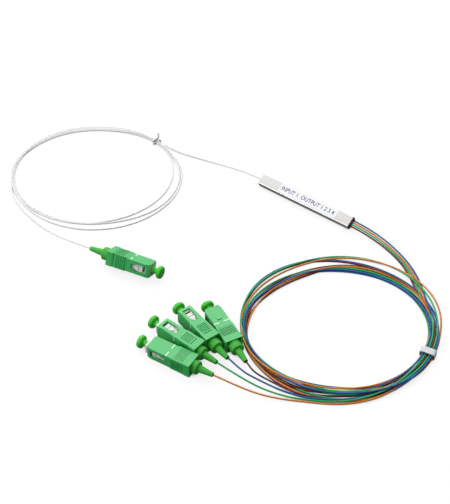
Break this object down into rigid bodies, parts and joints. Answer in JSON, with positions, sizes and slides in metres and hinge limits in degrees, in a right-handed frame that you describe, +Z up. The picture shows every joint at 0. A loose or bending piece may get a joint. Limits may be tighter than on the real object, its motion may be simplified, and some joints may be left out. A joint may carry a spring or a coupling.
{
  "type": "plc fibre splitter",
  "caption": "Planar lightwave splitter in a slim steel tube, with a white input cord and coloured output cords, coiled and tied, each ending in a capped green push-pull connector.",
  "frame": {"origin": "under the middle of the steel tube, on the surface that the splitter lies on", "axes": "+X along the steel tube from its input end to its output end, +Z up"},
  "size_m": [0.274, 0.1439, 0.0111],
  "materials": {
    "housing_green": "moulded, satin",
    "frame_white": "moulded, satin",
    "zirconia": "ground and polished ceramic",
    "flange_metal": "nickel plated, turned",
    "spring_steel": "drawn wire",
    "stop_ring_metal": "turned",
    "boot_green": "moulded elastomer, matt",
    "cap_green": "moulded, soft gloss",
    "tube_steel": "drawn stainless tube",
    "end_plug_clear": "cast silicone",
    "end_plug_black": "cast, matt",
    "gel": "soft silicone",
    "silica": "diced and polished",
    "bare_fibre": "drawn",
    "cord_white": "extruded sheath",
    "cord_orange": "extruded sheath",
    "cord_green": "extruded sheath",
    "cord_blue": "extruded sheath",
    "cord_brown": "extruded sheath",
    "cord_bundle": "turns of extruded cord",
    "tie_white": "soft strap"
  },
  "bodies": {
    "splitter": {"steel_tube": "tube_steel", "input_end_plug": "end_plug_clear", "output_end_plug": "end_plug_black", "chip_bed": "gel", "splitter_chip": "silica", "chip_lid": "silica", "input_fibre_array": "silica", "output_fibre_array": "silica", "input_bare_fibre": "bare_fibre", "output_bare_fibres": "bare_fibre", "input_cord": "cord_white", "output_cord_1": "cord_orange", "output_cord_2": "cord_green", "output_cord_3": "cord_blue", "output_cord_4": "cord_brown", "input_coil": "cord_white", "output_coil": "cord_bundle", "input_tie": "tie_white", "output_tie": "tie_white", "in_frame": "frame_white", "in_stop_ring": "stop_ring_metal", "in_boot": "boot_green", "in_spring": "spring_steel", "out1_frame": "frame_white", "out1_stop_ring": "stop_ring_metal", "out1_boot": "boot_green", "out1_spring": "spring_steel", "out2_frame": "frame_white", "out2_stop_ring": "stop_ring_metal", "out2_boot": "boot_green", "out2_spring": "spring_steel", "out3_frame": "frame_white", "out3_stop_ring": "stop_ring_metal", "out3_boot": "boot_green", "out3_spring": "spring_steel", "out4_frame": "frame_white", "out4_stop_ring": "stop_ring_metal", "out4_boot": "boot_green", "out4_spring": "spring_steel"},
    "in_shell": {"in_housing": "housing_green"},
    "in_tip": {"in_ferrule": "zirconia", "in_ferrule_flange": "flange_metal"},
    "in_cap": {"in_dust_cap": "cap_green"},
    "out1_shell": {"out1_housing": "housing_green"},
    "out1_tip": {"out1_ferrule": "zirconia", "out1_ferrule_flange": "flange_metal"},
    "out1_cap": {"out1_dust_cap": "cap_green"},
    "out2_shell": {"out2_housing": "housing_green"},
    "out2_tip": {"out2_ferrule": "zirconia", "out2_ferrule_flange": "flange_metal"},
    "out2_cap": {"out2_dust_cap": "cap_green"},
    "out3_shell": {"out3_housing": "housing_green"},
    "out3_tip": {"out3_ferrule": "zirconia", "out3_ferrule_flange": "flange_metal"},
    "out3_cap": {"out3_dust_cap": "cap_green"},
    "out4_shell": {"out4_housing": "housing_green"},
    "out4_tip": {"out4_ferrule": "zirconia", "out4_ferrule_flange": "flange_metal"},
    "out4_cap": {"out4_dust_cap": "cap_green"}
  },
  "joints": [
    {"name": "in_push_pull", "type": "slide", "parent": "splitter", "child": "in_shell", "axis": [0.9806, 0.1959, 0], "range_m": [-0.0014, 0.0002]},
    {"name": "in_ferrule_float", "type": "slide", "parent": "splitter", "child": "in_tip", "axis": [0.9806, 0.1959, 0], "range_m": [-0.0015, 0], "stiffness_N_per_m": 2000, "springref_m": 0.0025, "deforming": ["in_spring"]},
    {"name": "in_cap_pull", "type": "slide", "parent": "in_tip", "child": "in_cap", "axis": [0.9806, 0.1959, 0], "range_m": [0, 0.012]},
    {"name": "out1_push_pull", "type": "slide", "parent": "splitter", "child": "out1_shell", "axis": [-0.9952, -0.0976, 0], "range_m": [-0.0002, 0.0014]},
    {"name": "out1_ferrule_float", "type": "slide", "parent": "splitter", "child": "out1_tip", "axis": [-0.9952, -0.0976, 0], "range_m": [-0.0015, 0], "stiffness_N_per_m": 2000, "springref_m": 0.0025, "deforming": ["out1_spring"]},
    {"name": "out1_cap_pull", "type": "slide", "parent": "out1_tip", "child": "out1_cap", "axis": [-0.9952, -0.0976, 0], "range_m": [0, 0.012]},
    {"name": "out2_push_pull", "type": "slide", "parent": "splitter", "child": "out2_shell", "axis": [-0.9984, 0.0558, 0], "range_m": [-0.0002, 0.0014]},
    {"name": "out2_ferrule_float", "type": "slide", "parent": "splitter", "child": "out2_tip", "axis": [-0.9984, 0.0558, 0], "range_m": [-0.0015, 0], "stiffness_N_per_m": 2000, "springref_m": 0.0025, "deforming": ["out2_spring"]},
    {"name": "out2_cap_pull", "type": "slide", "parent": "out2_tip", "child": "out2_cap", "axis": [-0.9984, 0.0558, 0], "range_m": [0, 0.012]},
    {"name": "out3_push_pull", "type": "slide", "parent": "splitter", "child": "out3_shell", "axis": [-0.9588, 0.284, 0], "range_m": [-0.0016, 0]},
    {"name": "out3_ferrule_float", "type": "slide", "parent": "splitter", "child": "out3_tip", "axis": [-0.9588, 0.284, 0], "range_m": [-0.0015, 0], "stiffness_N_per_m": 2000, "springref_m": 0.0025, "deforming": ["out3_spring"]},
    {"name": "out3_cap_pull", "type": "slide", "parent": "out3_tip", "child": "out3_cap", "axis": [-0.9588, 0.284, 0], "range_m": [0, 0.012]},
    {"name": "out4_push_pull", "type": "slide", "parent": "splitter", "child": "out4_shell", "axis": [-0.9003, 0.4352, 0], "range_m": [-0.0016, 0]},
    {"name": "out4_ferrule_float", "type": "slide", "parent": "splitter", "child": "out4_tip", "axis": [-0.9003, 0.4352, 0], "range_m": [-0.0015, 0], "stiffness_N_per_m": 2000, "springref_m": 0.0025, "deforming": ["out4_spring"]},
    {"name": "out4_cap_pull", "type": "slide", "parent": "out4_tip", "child": "out4_cap", "axis": [-0.9003, 0.4352, 0], "range_m": [0, 0.012]}
  ]
}
